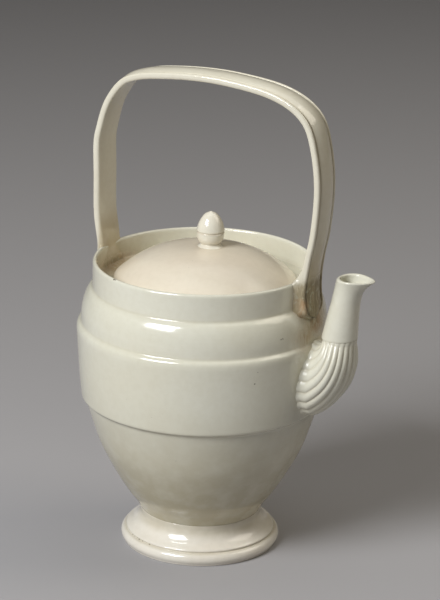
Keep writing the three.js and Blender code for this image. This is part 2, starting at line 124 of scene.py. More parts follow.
NECK_LEAN = 7.6 * MM
NECK_WAIST_SHARE = 0.6
NECK_FLARE_SHARE = 0.72
BEAK = 5.6 * MM
BEAK_SHARPNESS = 3
SHELL_SET_BACK = 0.7 * MM
SHELL_HINGE = 2.2 * MM
SHELL_BACK_DROP = 3 * MM
SHELL_DROP = 52 * MM
SHELL_DROOP = 1.8
SHELL_HALF_WIDTH = 20.2 * MM
SHELL_LOW_SPREAD = 0.14
FLUTES = 20
FLUTE_DEPTH = 1.1 * MM
FLUTE_START = 0.45
FLUTE_FADE = 0.6
STRAINER_HOLE_RADIUS = 1.8 * MM
STRAINER_PITCH = 6.4 * MM
STRAINER_ROWS_EACH_SIDE = 2
LUTE = 0.3 * MM

# What only this script adds: glaze fillets, a hand-made wobble, and skins that lap at a joint
POT_WOBBLE = 0.22 * MM
LID_WOBBLE = 0.25 * MM
KNOB_WOBBLE = 0.2 * MM
HANDLE_WOBBLE = 0.25 * MM
SPOUT_WOBBLE = 0.15 * MM
LEFT_FOOT_FILLET = 1 * MM
RIGHT_FOOT_FILLET = 3 * MM
LOBE_EDGE_SINK = 1.6 * MM
SHELL_FILLET = 1.4 * MM
SHELL_RUN_IN = 9.5 * MM
NECK_SEAM_OVERLAP = 0.5 * MM
BOX_INSET = 0.02 * MM

# The left lobe's widening as a share of the right one's: below zero, it is narrower than the strap
LEFT_LOBE_WIDENING = -0.4

# Sides of the round pieces
POT_SIDES = 240
LID_SIDES = 220
KNOB_SIDES = 96
NECK_SIDES = 96
SHELL_SIDES = 12 * FLUTES
HOLE_SIDES = 16

# Below this a length counts as nothing
TINY = 0.000001 * MM

# Heights and reaches that follow from the sizes
BAND_TOP = BAND_FOOT + BAND_HEIGHT
SHOULDER_RADIUS = BAND_RADIUS - SHOULDER_SET_IN
SHOULDER_TOP = BAND_TOP + SHOULDER_HEIGHT
RIM_HEIGHT = SHOULDER_TOP + COLLAR_HEIGHT
HANDLE_CROWN = RIM_HEIGHT + HANDLE_RISE
NECK_FOOT_HEIGHT = BAND_TOP + NECK_FOOT_RISE
NECK_REACH = BAND_RADIUS + NECK_STAND_OFF

# The pot's axis stands behind the origin, because the spout reaches out in front
pot_low, pot_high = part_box("pot")
AXIS_X = (pot_low.x + pot_high.x) / 2


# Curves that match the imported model's
def uniform_spline(stations, count):
    """Points of the smooth curve through the stations, evenly spaced in its parameter."""
    stations = np.array(stations, float)
    last = len(stations) - 1
    curve = []
    for along in np.linspace(0, last, count + 1):
        i = min(int(along), last - 1)
        w = along - i
        before, start, end, after = (stations[k] for k in (max(i - 1, 0), i, i + 1, min(i + 2, last)))
        leave, arrive = (end - before) / 2, (after - start) / 2
        cubic = 2 * start - 2 * end + leave + arrive
        square = -3 * start + 3 * end - 2 * leave - arrive
        curve.append(tuple(cubic * w**3 + square * w**2 + leave * w + start))
    return curve


def centripetal_spline(stations, per_span):
    """A dense line through the stations, without overshoot at its tight bends."""
    p = np.array(stations, float)
    p = np.vstack([2 * p[0] - p[1], p, 2 * p[-1] - p[-2]])
    line = []
    for i in range(1, len(p) - 2):
        before, start, end, after = p[i - 1 : i + 3]
        pairs = ((before, start), (start, end), (end, after))
        first, gap, third = (np.linalg.norm(b - a) ** 0.5 for a, b in pairs)
        leave = ((start - before) / first - (end - before) / (first + gap) + (end - start) / gap) * gap
        arrive = ((end - start) / gap - (after - start) / (gap + third) + (after - end) / third) * gap
        for w in np.linspace(0, 1, per_span, endpoint=False):
            cube = w**3
            square = w**2
            line.append(
                (2 * cube - 3 * square + 1) * start
                + (cube - 2 * square + w) * leave
                + (3 * square - 2 * cube) * end
                + (cube - square) * arrive
            )
    line.append(p[-2])
    return np.array(line)


def resample(line, count):
    """The same line with evenly spaced points, and its unit tangents."""
    line = np.array(line, float)
    run = np.concatenate([[0], np.cumsum(np.linalg.norm(np.diff(line, axis=0), axis=1))])
    at = np.linspace(0, run[-1], count + 1)
    points = np.stack([np.interp(at, run, line[:, k]) for k in range(line.shape[1])], axis=1)
    tangents = np.gradient(points, axis=0)
    return points, tangents / np.linalg.norm(tangents, axis=1)[:, None]


def arc(centre_radius, centre_height, radius, start, stop, count):
    """Points of an arc on the plane of radius and height, from one angle in degrees to another."""
    angles = np.radians(np.linspace(start, stop, count + 1))
    return [(centre_radius + radius * math.cos(a), centre_height + radius * math.sin(a)) for a in angles]


def soften(profile, step, passes):
    """Resamples a profile and rounds its corners a little, as glaze does, while its ends stay."""
    line = np.array(profile, float)
    length = np.linalg.norm(np.diff(line, axis=0), axis=1).sum()
    points = resample(line, int(length / step))[0]
    for _ in range(passes):
        points[1:-1] = 0.25 * points[:-2] + 0.5 * points[1:-1] + 0.25 * points[2:]
    return points


def move_in(line, wall):
    """A line of radius and height moved in by the thickness of a wall."""
    points = np.array(line, float)
    along = np.gradient(points, axis=0)
    along /= np.linalg.norm(along, axis=1)[:, None]
    return points + wall * np.stack([-along[:, 1], along[:, 0]], axis=1)


def smooth_share(value, low, high):
    """Zero below low, one above high, with a smooth change between."""
    share = min(1.0, max(0.0, (value - low) / (high - low)))
    return share * share * (3 - 2 * share)


def bell(value, centre, width):
    """One at the centre, falling smoothly to nothing about two widths away."""
    return math.exp(-(((value - centre) / width) ** 2))


# Meshes from rings of points
def add_mesh(name, vertices, faces, material):
    mesh = bpy.data.meshes.new(name)
    mesh.from_pydata([tuple(v) for v in vertices], [], faces)
    mesh.validate()
    mesh.update()
    obj = bpy.data.objects.new(name, mesh)
    bpy.context.scene.collection.objects.link(obj)
    mesh.materials.append(material)
    mesh.shade_smooth()
    return obj


def bridge(rings, closed=False):
    """Vertices and faces of a skin over equal rings, which are joined end to end or closed by a fan each."""
    rings = [np.array(ring, float) for ring in rings]
    sides = len(rings[0])
    faces = []
    for r in range(len(rings) if closed else len(rings) - 1):
        here = r * sides
        there = (r + 1) % len(rings) * sides
        for i in range(sides):
            j = (i + 1) % sides
            faces.append((here + i, here + j, there + j, there + i))
    if closed:
        return np.vstack(rings), faces
    hub = len(rings) * sides
    last = hub - sides
    faces += [(hub, (i + 1) % sides, i) for i in range(sides)]
    faces += [(hub + 1, last + i, last + (i + 1) % sides) for i in range(sides)]
    return np.vstack([*rings, rings[0].mean(axis=0), rings[-1].mean(axis=0)]), faces


def revolve(profile, sides):
    """Vertices and faces of a profile turned about the pot's axis. Ends on the axis become poles."""
    profile = np.array(profile, float)
    angles = np.linspace(0, 2 * math.pi, sides, endpoint=False)
    on_axis = profile[:, 0] < TINY
    vertices, first = [], []
    for (radius, height), pole in zip(profile, on_axis):
        first.append(len(vertices))
        if pole:
            vertices.append((AXIS_X, 0, height))
        else:
            vertices.extend((AXIS_X + radius * math.cos(a), radius * math.sin(a), height) for a in angles)
    faces = []
    for r in range(len(profile) - 1):
        if on_axis[r] and on_axis[r + 1]:
            continue
        here, there = first[r], first[r + 1]
        for i in range(sides):
            j = (i + 1) % sides
            if on_axis[r]:
                faces.append((here, there + j, there + i))
            elif on_axis[r + 1]:
                faces.append((here + i, here + j, there))
            else:
                faces.append((here + i, here + j, there + j, there + i))
    return np.array(vertices, float), faces


def outward(obj):
    """Turns the faces to point out."""
    work = bmesh.new()
    work.from_mesh(obj.data)
    bmesh.ops.recalc_face_normals(work, faces=work.faces)
    work.to_mesh(obj.data)
    work.free()
    return obj


def hand_made(vertices, amount, scale, seed):
    """Moves points by a slow noise, because thrown and pulled clay is never quite true."""
    offset = Vector((seed * 3.7, seed * 1.3, seed * 2.1))
    moved = np.array(vertices, float)
    for k, v in enumerate(moved):
        moved[k] += amount * np.array(noise.noise_vector(Vector(v) / scale + offset))
    return moved


# The pot's outline, from the waist up to the rim
band_foot_radius = BAND_RADIUS - BAND_TAPER
belly_radius = band_foot_radius - BAND_STEP
belly_height = BAND_FOOT - FOOT_HEIGHT
belly_run = belly_radius - WAIST_RADIUS
belly_shares = ((0, 0), (0.1, 0.083), (0.25, 0.176), (0.49, 0.36), (0.73, 0.585), (0.89, 0.81))
belly = uniform_spline([
    *((WAIST_RADIUS + out * belly_run, FOOT_HEIGHT + up * belly_height) for out, up in belly_shares),
    (belly_radius, BAND_FOOT - 1.2 * MM),
], count=60)
shoulder = uniform_spline([
    (SHOULDER_RADIUS, BAND_TOP + 0.3 * MM),
    (SHOULDER_RADIUS - 0.2 * MM, BAND_TOP + 0.35 * SHOULDER_HEIGHT),
    (SHOULDER_RADIUS - 1.7 * MM, BAND_TOP + 0.66 * SHOULDER_HEIGHT),
    (SHOULDER_RADIUS - 4.2 * MM, BAND_TOP + 0.9 * SHOULDER_HEIGHT),
    (RIM_RADIUS, SHOULDER_TOP),
], count=40)
band_edge = BAND_RADIUS - 0.1 * MM
band = uniform_spline([
    (band_foot_radius, BAND_FOOT),
    (band_foot_radius + 0.5 * BAND_TAPER, BAND_FOOT + 0.35 * BAND_HEIGHT),
    (BAND_RADIUS, BAND_TOP - 7 * MM),
    (band_edge, BAND_TOP - BAND_CORNER),
], count=30)
corner = arc(band_edge - BAND_CORNER, BAND_TOP - BAND_CORNER, BAND_CORNER, start=20, stop=80, count=8)
outside = [*belly, *band, *corner, *shoulder]
outer_line = np.array([*outside, (RIM_RADIUS, RIM_HEIGHT)])
outer_points = resample(outer_line, 400)[0]

# The pot's inside, from the gallery's lower edge down to the floor
inner_rim = RIM_RADIUS - LIP_THICKNESS
gallery_height = RIM_HEIGHT - GALLERY_DEPTH
inner_floor = FOOT_HEIGHT + POT_WALL + 1 * MM
inside = [
    *uniform_spline([
        (MOUTH_RADIUS, gallery_height - GALLERY_THICKNESS),
        (SHOULDER_RADIUS - POT_WALL - 4 * MM, SHOULDER_TOP - 8.6 * MM),
        (BAND_RADIUS - POT_WALL - 2 * MM, BAND_TOP - 2 * MM),
        (band_foot_radius - POT_WALL, BAND_FOOT + 4 * MM),
    ], count=30),
    *(point for point in move_in(belly, POT_WALL)[::-1] if point[1] > inner_floor + POT_WALL),
    (WAIST_RADIUS - 1.6 * POT_WALL, inner_floor),
]

# Where the spout's shell hinges on the neck: its reach from the pot's axis, and its height
hinge_reach = NECK_REACH - (NECK_FOOT_RADIUS - SHELL_SET_BACK) - SHELL_HINGE
hinge_height = NECK_FOOT_HEIGHT - LUTE

# Where the lid sits, and its knob on it
lid_radius = MOUTH_RADIUS + LID_OVERLAP
lid_seat = gallery_height + LUTE
lid_shoulder = lid_seat + LID_EDGE
lid_top = lid_shoulder + LID_RISE
knob_aside = (KNOB_OFF_CENTRE * math.cos(KNOB_BEARING), KNOB_OFF_CENTRE * math.sin(KNOB_BEARING))
knob_place = Vector((AXIS_X + knob_aside[0], knob_aside[1], 0))


def over_pot(point):
    """How far a point stands off the pot's outside, negative within it."""
    radius = math.hypot(point[0] - AXIS_X, point[1])
    if point[2] > RIM_HEIGHT:
        return math.hypot(max(0.0, radius - RIM_RADIUS), point[2] - RIM_HEIGHT)
    gap = outer_points - np.array([radius, point[2]])
    near = math.sqrt(float((gap**2).sum(axis=1).min()))
    return near if radius > np.interp(point[2], outer_points[:, 1], outer_points[:, 0]) else -near


def filleted(near, fillet, share):
    """How far the glaze spreads at a joint, for a point that stands near the pot."""
    return fillet * share * (1 - max(0.0, near) / fillet) ** 2


# Tones and finish that the glazes share; the two browns also paint shade where the stain mask holds painted
# shade
SCRAPED_AND_SHADE_BROWN = (0.25, 0.205, 0.115)
RUSTY_AND_SHADE_BROWN = (0.38, 0.25, 0.13)
OLIVE_SCUM = (0.60, 0.61, 0.47)
SPECK_BROWN = (0.16, 0.12, 0.07)
CHIP_BROWN = (0.10, 0.075, 0.045)
GRAIN_DEPTH = 0.07
SCUM_DEPTH = 0.4
SPECK_DEPTH = 0.6
STAIN_ROUGHNESS = 0.5
GLAZE_IOR = 1.52
COAT_ROUGHNESS = 0.06
TURNING_SCALE = 130


class GlazeNodes:
    """Short ways to add the shader nodes that a glaze is made of. Scales are in features to a metre."""

    def __init__(self, material):
        self.nodes = material.node_tree.nodes
        self.links = material.node_tree.links
        self.place = self.nodes.new("ShaderNodeTexCoord").outputs["Object"]

    def connect(self, node, inputs):
        """Gives each input of a node the output, number, place or colour that belongs there."""
        for key, value in inputs.items():
            socket = node.inputs[key]
            if isinstance(value, bpy.types.NodeSocket):
                self.links.new(value, socket)
            elif socket.type == "RGBA":
                socket.default_value = (*value, 1)
            else:
                socket.default_value = value
        return node

    def add(self, kind, inputs, **settings):
        node = self.nodes.new(kind)
        for key, value in settings.items():
            setattr(node, key, value)
        return self.connect(node, inputs)

    def noise(self, scale, detail, roughness=0.5, place=None):
        inputs = {"Scale": scale, "Detail": detail, "Roughness": roughness, "Vector": place or self.place}
        return self.add("ShaderNodeTexNoise", inputs).outputs["Fac"]

    def spread(self, value, low, high, to_low=0.0, to_high=1.0):
        inputs = {"Value": value, "From Min": low, "From Max": high, "To Min": to_low, "To Max": to_high}
        return self.add("ShaderNodeMapRange", inputs).outputs["Result"]

    def mix(self, share, first, second):
        inputs = {"Factor": share, "A": first, "B": second}
        return self.add("ShaderNodeMix", inputs, data_type="RGBA").outputs["Result"]

    def attribute(self, key):
        return self.add("ShaderNodeAttribute", {}, attribute_name=key).outputs["Fac"]

    def times(self, first, second):
        inputs = {0: first, 1: second}
        return self.add("ShaderNodeMath", inputs, operation="MULTIPLY", use_clamp=True).outputs["Value"]

    def times_plus(self, first, second, third):
        inputs = {0: first, 1: second, 2: third}
        return self.add("ShaderNodeMath", inputs, operation="MULTIPLY_ADD").outputs["Value"]

    def on_place(self, operation, other):
        """The place multiplied by, taken from or measured to another."""
        return self.add("ShaderNodeVectorMath", {0: self.place, 1: other}, operation=operation).outputs

    def dragged(self, scale, detail, roughness, along):
        """Noise drawn out in height, for marks that were dragged up or down."""
        return self.noise(scale, detail, roughness, self.on_place("MULTIPLY", (1, 1, along))["Vector"])

    def relief(self, height, strength, distance, under=None):
        inputs = {"Height": height, "Strength": strength, "Distance": distance}
        if under:
            inputs["Normal"] = under
        return self.add("ShaderNodeBump", inputs).outputs["Normal"]


def clean_tone(make, light, deep, warm, mottle_scale):
    """A slow drift from light to warm, with a faint grain, and the deep tone where the pool-and-shade mask is
    set: glaze pooled in hollows, and painted shade in creases and on shaded faces.
    """
    drift = make.spread(make.noise(mottle_scale, detail=3), low=0.35, high=0.68)
    grain = make.spread(make.noise(scale=260, detail=4), low=0.42, high=0.64)
    uneven = make.spread(make.noise(scale=90, detail=3), low=0.3, high=0.6, to_low=0.6)
    tone = make.mix(drift, light, warm)
    tone = make.mix(make.times(grain, GRAIN_DEPTH), tone, deep)
    return make.mix(make.times(make.attribute("pool_and_shade"), uneven), tone, deep)


def stain_and_shade_tone(make, tone, scraped_and_shaded, stain_and_shade, rust):
    """Brown, partly rusty, where the glaze was scraped and where the mask paints shade as brown, with a pale
    olive scum over some of it.
    """
    rusty = make.spread(make.noise(scale=60, detail=2), low=rust, high=rust + 0.14)
    scum = make.spread(make.noise(scale=300, detail=3), low=0.57, high=0.68)
    tone = make.mix(stain_and_shade, tone, make.mix(rusty, SCRAPED_AND_SHADE_BROWN, RUSTY_AND_SHADE_BROWN))
    return make.mix(make.times(make.times(scraped_and_shaded, SCUM_DEPTH), scum), tone, OLIVE_SCUM)


def specked_tone(make, tone, spots):
    """Fine specks here and there, and the marks that the photograph shows, ragged at their edges."""
    cells = make.add("ShaderNodeTexVoronoi", {"Scale": 240, "Vector": make.place}).outputs["Distance"]
    chosen = make.spread(make.noise(scale=35, detail=1), low=0.64, high=0.67)
    speck = make.times(make.spread(cells, low=0.06, high=0.025), chosen)
    tone = make.mix(make.times(speck, SPECK_DEPTH), tone, SPECK_BROWN)
    for place, size, depth in spots:
        away = make.on_place("DISTANCE", place)["Value"]
        ragged = make.times_plus(make.noise(scale=900, detail=2), size, away)
        mark = make.spread(ragged, low=1.35 * size, high=0.9 * size)
        tone = make.mix(make.times(mark, depth), tone, CHIP_BROWN)
    return tone


def turned_surface(make, turning):
    """A faint unevenness, and on turned pieces the rings that the turner's tool left."""
    surface = make.relief(make.noise(scale=260, detail=1), strength=0.03, distance=0.6 * MM)
    if not turning:
        return surface
    inputs = {"Scale": TURNING_SCALE, "Distortion": 0.25, "Detail": 0, "Detail Scale": 0.3}
    inputs["Vector"] = make.on_place("SUBTRACT", (AXIS_X, 0, 0))["Vector"]
    directions = {"bands_direction": "Z", "rings_direction": "Z"}
    rings = make.add("ShaderNodeTexWave", inputs, wave_type=turning, **directions).outputs["Fac"]
    return make.relief(rings, strength=0.07, distance=0.1 * MM, under=surface)


# Milky cream glaze, deeper where it pools and where shade is painted in, and stained and scuffed in known
# places, with painted shade in some of the brown
def glaze_material(name, light, deep, warm, roughness, mottle_scale, turning, spots=(), coat=0.35, rust=0.54):
    material = bpy.data.materials.new(name)
    material.use_nodes = True
    make = GlazeNodes(material)
    scraped_and_shaded = make.attribute("stain_and_shade")
    smears = make.dragged(scale=520, detail=6, roughness=0.68, along=0.22)
    stain_and_shade = make.times(scraped_and_shaded, make.spread(smears, low=0.26, high=0.54))
    tone = clean_tone(make, light, deep, warm, mottle_scale)
    tone = stain_and_shade_tone(make, tone, scraped_and_shaded, stain_and_shade, rust)
    gloss = make.spread(make.noise(scale=40, detail=2), 0.3, 0.7, 0.9 * roughness, 1.15 * roughness)
    scratches = make.times(scraped_and_shaded, make.dragged(scale=640, detail=5, roughness=0.65, along=0.35))
    make.connect(material.node_tree.nodes["Principled BSDF"], {
        "Base Color": specked_tone(make, tone, spots),
        "Roughness": make.times_plus(stain_and_shade, STAIN_ROUGHNESS, gloss),
        "Normal": make.relief(scratches, 0.7, 0.9 * MM, under=turned_surface(make, turning)),
        "IOR": GLAZE_IOR,
        "Coat Weight": coat,
        "Coat Roughness": COAT_ROUGHNESS,
    })
    return material


def around(radius, bearing, height):
    """The place at a radius from the pot's axis, at a bearing from the spout and a height."""
    turn = math.radians(bearing)
    return (AXIS_X + radius * math.cos(turn), radius * math.sin(turn), height)


def on_pot(bearing, height, proud=0.0):
    """The place on the pot's outside at a bearing from the spout and a height."""
    return around(float(np.interp(height, outer_line[:, 1], outer_line[:, 0])) + proud, bearing, height)


# Specks, chips and stains that the photograph shows, each a place, a size and a depth of tone
lip_top = RIM_HEIGHT - 0.1 * MM
pot_spots = [
    (on_pot(-23.2, 156.1 * MM), 0.8 * MM, 0.7),
    (on_pot(-24.3, 156 * MM), 0.7 * MM, 0.7),
    (on_pot(-37.5, 139 * MM), 0.6 * MM, 0.45),
    (on_pot(-38.7, 131.6 * MM), 0.75 * MM, 0.7),
    (on_pot(-114.8, lip_top, -0.6 * MM), 1.2 * MM, 0.95),
    (on_pot(-113.6, lip_top, -0.6 * MM), 1 * MM, 0.8),
    (on_pot(-141.5, 171 * MM), 0.8 * MM, 0.7),
    (on_pot(-140, 173 * MM), 0.6 * MM, 0.6),
    (on_pot(-75, 78 * MM), 0.4 * MM, 0.5),
]
foot_spots = [
    (around(46.8 * MM, bearing, 8.1 * MM), size * MM, 0.6)
    for bearing, size in ((-127, 0.8), (-123, 0.6), (-119.5, 0.7), (-116.5, 1), (-112, 0.7), (-104, 1.05))
]
strap_spots = [
    ((51.8 * MM, -9.3 * MM, 288.2 * MM), 0.55 * MM, 0.9),
    ((52.9 * MM, -9.3 * MM, 287.4 * MM), 0.7 * MM, 0.95),
    ((54.2 * MM, -9.2 * MM, 286.2 * MM), 0.6 * MM, 0.9),
]

# The glazes, each with its light, deep and warm tone; the deep tone also serves as painted shade
milky = (0.715, 0.70, 0.59)
body_glaze = glaze_material(
    "body_glaze", milky, deep=(0.47, 0.415, 0.275), warm=(0.685, 0.66, 0.535),
    roughness=0.15, mottle_scale=15, turning="BANDS", spots=pot_spots, rust=0.34,
)
# The foot's light tone is lighter than the body's: partly the foot's own creamier tint, partly painted light
# for the bright ring
foot_glaze = glaze_material(
    "foot_glaze", light=(0.855, 0.81, 0.71), deep=(0.47, 0.415, 0.275), warm=(0.82, 0.76, 0.65),
    roughness=0.15, mottle_scale=20, turning="BANDS", spots=foot_spots,
)
strap_glaze = glaze_material(
    "strap_glaze", light=(0.74, 0.705, 0.58), deep=(0.45, 0.365, 0.215), warm=(0.71, 0.665, 0.54),
    roughness=0.15, mottle_scale=22, turning=None, spots=strap_spots, rust=0.56,
)
spout_glaze = glaze_material(
    "spout_glaze", milky, deep=(0.50, 0.445, 0.31), warm=(0.70, 0.67, 0.55),
    roughness=0.25, mottle_scale=24, turning=None, coat=0.12,
)
neck_glaze = glaze_material(
    "neck_glaze", milky, deep=(0.45, 0.395, 0.26), warm=(0.70, 0.675, 0.555),
    roughness=0.2, mottle_scale=24, turning="BANDS", coat=0.25,
)
lid_glaze = glaze_material(
    "lid_glaze", light=(0.775, 0.72, 0.59), deep=(0.52, 0.44, 0.31), warm=(0.725, 0.635, 0.505),
    roughness=0.24, mottle_scale=12, turning="RINGS", coat=0.15,
)
knob_glaze = glaze_material(
    "knob_glaze", light=(0.80, 0.77, 0.655), deep=(0.45, 0.36, 0.24), warm=(0.77, 0.715, 0.59),
    roughness=0.13, mottle_scale=60, turning=None,
)


# Masks of stain and pooled tint, which both also hold painted shade, as functions of place in the part's
# frame
def tint(obj, stain_and_shade=None, pool_and_shade=None):
    """Writes the two masks that the glaze reads, from functions of place. No function leaves a mask empty."""
    for key, field in (("stain_and_shade", stain_and_shade), ("pool_and_shade", pool_and_shade)):
        layer = obj.data.attributes.new(key, "FLOAT", "POINT")
        if field:
            values = [max(0.0, min(1.0, field(v.co))) for v in obj.data.vertices]
            layer.data.foreach_set("value", values)


def bearing_of(place):
    return math.degrees(math.atan2(place.y, place.x - AXIS_X))


def inside_rim(place):
    within = math.hypot(place.x - AXIS_X, place.y) < inner_rim + 0.2 * MM
    return within and place.z > gallery_height - 20 * MM


def below_right_foot(place, patches):
    """The strongest of some patches, each a strength, a height, a bearing and their half widths."""
    if place.x < AXIS_X + 66 * MM:
        return 0.0
    return max(
        strength * bell(place.z, height, tall) * bell(bearing_of(place), bearing, wide)
        for strength, height, tall, bearing, wide in patches
    )


def joint_stain_and_shade(place):
    """Brown, scraped glaze round the feet of the handle, strongest under the foot beside the spout, with
    painted shade as brown on the ledge behind the lid and on the shaded shoulder under that foot.
    """
    # Painted shade: brown on the ledge behind the lid, by the left foot
    if inside_rim(place):
        behind = bell(abs(bearing_of(place)), 176, 17)
        return 0.75 * behind * bell(place.z, gallery_height + 1 * MM, 4 * MM)
    total = 0.0
    for towards, strength, half in ((1, 0.9, 12.5 * MM), (-1, 0.6, 12 * MM)):
        foot = Vector((AXIS_X + towards * (RIM_RADIUS + 3 * MM), 0, RIM_HEIGHT - 12 * MM))
        side = bell(abs(place.y), half, 2.4 * MM)
        level = bell(place.z, foot.z - 1 * MM, 13 * MM)
        near = bell((place - foot).xy.length, 11 * MM, 8 * MM)
        total = max(total, strength * side * level * near)
    # Real stain and painted shade together: brown patches on the shaded shoulder under the foot beside the
    # spout
    patches = ((1, 159 * MM, 9 * MM, 3, 11), (0.75, 152 * MM, 8 * MM, -8, 8))
    return max(total, below_right_foot(place, patches))


def crease_pool_and_shade(place):
    """Deeper tint, part glaze pooling and part painted shade, at the turned steps, low on the belly, inside
    the rim, round the spout's shell and on the shoulder under the foot beside the spout.
    """
    # Painted shade on the inside of the rim, darkest behind
    if inside_rim(place):
        behind = bell(abs(bearing_of(place)), 180, 26)
        return max(0.08, 0.9 * behind, 0.4 * bell(place.z, gallery_height, 2.5 * MM))
    # Painted shade under the turned steps, darkest under the band's foot
    steps = (
        (0.75, BAND_FOOT - 0.9 * MM),
        (0.2, BAND_TOP + 0.7 * MM),
        (0.3, SHOULDER_TOP + 0.4 * MM),
    )
    creases = max(strength * bell(place.z, height, 0.9 * MM) for strength, height in steps)
    # Painted shade, darker towards the bottom of the belly
    low = 0.95 * (1 - smooth_share(place.z, 26 * MM, 128 * MM))
    # Painted shade along the shell's joint with the wall
    beside_shell = bell(abs(place.y), 19.5 * MM, 3 * MM) * bell(place.z, 122 * MM, 22 * MM)
    shell_edge = 0.45 * beside_shell * bell(place.x - AXIS_X, 77 * MM, 6 * MM)
    # Painted shade on the shoulder under the foot beside the spout
    under_foot = below_right_foot(place, ((0.7, 158 * MM, 13 * MM, -1, 15),))
    return max(creases, low, shell_edge, under_foot)


def strap_stain_and_shade(place):
    """The rough, brown face and side of the foot beside the spout; the other foot takes the joint's stain and
    painted shade.
    """
    if place.x < AXIS_X:
        return joint_stain_and_shade(place)
    low = 1 - smooth_share(place.z, RIM_HEIGHT - 3 * MM, RIM_HEIGHT + 6 * MM)
    radius = math.hypot(place.x - AXIS_X, place.y)
    outer = smooth_share(radius, RIM_RADIUS + 1 * MM, RIM_RADIUS + 4 * MM)
    return max(joint_stain_and_shade(place), low * (0.5 + 0.5 * outer))


def strap_pool_and_shade(place):
    """Painted shade, with glaze pooled in the grooves: deeper tint along the grooves and down the face of
    each foot, strongest beside the spout.
    """
    grooves = 0.0
    if place.z > RIM_HEIGHT:
        grooves = bell(abs(place.y), HANDLE_WIDTH / 2 - 2.3 * HANDLE_BEAD, 0.7 * MM)
    reach = place.x - AXIS_X
    # Painted shade down the foot beside the spout, full below the rim
    if reach > 0:
        fall = 1 - smooth_share(place.z, RIM_HEIGHT - 4 * MM, RIM_HEIGHT + 46 * MM)
        low = 1 - smooth_share(place.z, RIM_HEIGHT - 4 * MM, RIM_HEIGHT + 2 * MM)
        face = smooth_share(reach, RIM_RADIUS + 2.5 * MM, RIM_RADIUS + 5 * MM)
        return max(0.4 * grooves, 0.7 * fall * face * smooth_share(place.y, -11.4 * MM, -8 * MM), low)
    # Painted shade down the inner face of the other foot
    fall = 1 - smooth_share(place.z, RIM_HEIGHT - 2 * MM, RIM_HEIGHT + 34 * MM)
    inner_face = smooth_share(reach, -RIM_RADIUS - 1.5 * MM, -RIM_RADIUS + 1 * MM)
    return max(0.3 * grooves, 0.85 * fall * inner_face)


def put(obj, body, slot, *nodes):
    """Keeps a piece within the solids' box, gives it its body and hides the nodes it replaces; its slot is
    not used.
    """
    low, high = (np.array(corner) for corner in cad_box)
    for v in obj.data.vertices:
        inset = BOX_INSET if v.co.z > 1 * MM else 0
        v.co = np.clip(v.co, low + inset, high - inset)
    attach(obj, body)
    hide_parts(*nodes)


# The strainer's holes, in a hexagon behind the shell
def cut_strainer(pot):
    middle = NECK_FOOT_HEIGHT - 0.52 * SHELL_DROP
    angles = np.linspace(0, 2 * math.pi, HOLE_SIDES, endpoint=False)
    circle = [(STRAINER_HOLE_RADIUS * math.cos(a), STRAINER_HOLE_RADIUS * math.sin(a)) for a in angles]
    depths = (AXIS_X + BAND_RADIUS - 4 * POT_WALL, AXIS_X + BAND_RADIUS + 2 * POT_WALL)
    vertices, faces = [], []
    for row in range(-STRAINER_ROWS_EACH_SIDE, STRAINER_ROWS_EACH_SIDE + 1):
        in_row = 2 * STRAINER_ROWS_EACH_SIDE + 1 - abs(row)
        for k in range(in_row):
            y = (k - (in_row - 1) / 2) * STRAINER_PITCH
            z = middle + row * STRAINER_PITCH * math.sin(math.pi / 3)
            pin, pin_faces = bridge([[(x, y + across, z + up) for across, up in circle] for x in depths])
            faces += [tuple(i + len(vertices) for i in face) for face in pin_faces]
            vertices += [tuple(v) for v in pin]
    cutter = outward(add_mesh("strainer_cutter", vertices, faces, body_glaze))
    cut = pot.modifiers.new("strainer", "BOOLEAN")
    cut.operation = "DIFFERENCE"
    cut.solver = "EXACT"
    cut.object = cutter
    bpy.context.view_layer.objects.active = pot
    bpy.ops.object.modifier_apply(modifier=cut.name)
    bpy.data.objects.remove(cutter)


# The pot, one turned skin from the outside over the lip to the inside floor
def make_pot():
    lip_round = LIP_THICKNESS / 2
    under = FOOT_HEIGHT - 0.4 * MM
    profile = [(0, under), (WAIST_RADIUS - 0.2 * MM, under)]
    profile += outside[1:]
    profile += arc(RIM_RADIUS - lip_round, RIM_HEIGHT - lip_round, lip_round, start=0, stop=180, count=14)
    profile += [(inner_rim, gallery_height), (MOUTH_RADIUS, gallery_height)]
    profile += [*inside, (0, inner_floor)]
    vertices, faces = revolve(soften(profile, step=0.75 * MM, passes=2), POT_SIDES)
    vertices = hand_made(vertices, POT_WOBBLE, scale=60 * MM, seed=1)
    pot = outward(add_mesh("pot_glazed", vertices, faces, body_glaze))
    cut_strainer(pot)
    pot.data.shade_smooth()
    pot.data.set_sharp_from_angle(angle=math.radians(50))
    tint(pot, joint_stain_and_shade, crease_pool_and_shade)
    put(pot, "kettle", "cream_glaze", "pot")


